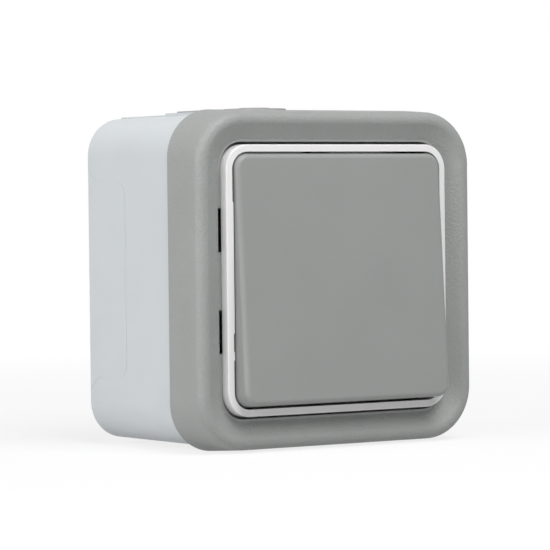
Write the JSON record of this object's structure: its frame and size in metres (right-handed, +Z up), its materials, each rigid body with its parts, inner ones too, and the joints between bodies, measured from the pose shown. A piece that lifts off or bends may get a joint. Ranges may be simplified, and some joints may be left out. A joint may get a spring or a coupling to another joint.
{
  "type": "surface-mounted weatherproof rocker switch",
  "caption": "Weatherproof surface switch: square wall box with a cable entry on top, dished grey frame, white trim ring and a tilting grey rocker.",
  "frame": {"origin": "centre of the flat back of the box, where it meets the wall", "axes": "+Z up, +Y into the wall, -Y out of the wall towards the user, +X to the user's right"},
  "size_m": [0.076, 0.0522, 0.0771],
  "materials": {
    "box_plastic": "satin, light bluish grey",
    "frame_plastic": "fine grained, mid grey",
    "rocker_plastic": "satin, mid grey",
    "ring_plastic": "satin white",
    "gland_rubber": "matt soft grey",
    "seal_rubber": "matt black",
    "white_insulator": "satin white",
    "zinc_steel": "zinc plated",
    "steel": "bright",
    "spring_steel": "drawn wire",
    "brass": "stamped",
    "silver": "silver contact metal"
  },
  "bodies": {
    "base": {"back_box": "box_plastic", "cable_gland": "gland_rubber", "front_frame": "frame_plastic", "trim_ring": "ring_plastic", "support_yoke": "zinc_steel", "yoke_screws": "steel", "mechanism_base": "white_insulator", "mechanism_cover": "white_insulator", "cover_screws": "steel", "fixed_contacts": "silver", "common_terminal": "brass", "switched_terminal_1": "brass", "switched_terminal_2": "brass", "terminal_screws": "steel", "earth_terminal": "brass", "earth_screw": "steel", "wall_seals": "seal_rubber", "box_seal": "seal_rubber", "insert_seal": "seal_rubber", "stem_seal": "seal_rubber"},
    "rocker": {"rocker_plate": "rocker_plastic", "rocker_cradle": "white_insulator", "toggle_spring": "spring_steel"},
    "plunger": {"toggle_plunger": "steel"},
    "lever": {"contact_lever": "brass", "moving_contacts": "silver"}
  },
  "joints": [
    {"name": "rocker_pivot", "type": "hinge", "parent": "base", "child": "rocker", "pos_m": [0, -0.0463, 0], "axis": [1, 0, 0], "range_deg": [0, 7.2]},
    {"name": "plunger_slide", "type": "slide", "parent": "rocker", "child": "plunger", "axis": [0, -0.998, 0.0628], "range_m": [0, 0.00015], "stiffness_N_per_m": 100, "springref_m": -0.002},
    {"name": "lever_tilt", "type": "hinge", "parent": "base", "child": "lever", "pos_m": [0, -0.0263, 0], "axis": [1, 0, 0], "range_deg": [-21.6, 0]}
  ],
  "couplings": [
    {"joint": "lever_tilt", "follows": "rocker_pivot", "ratio": -3}
  ]
}
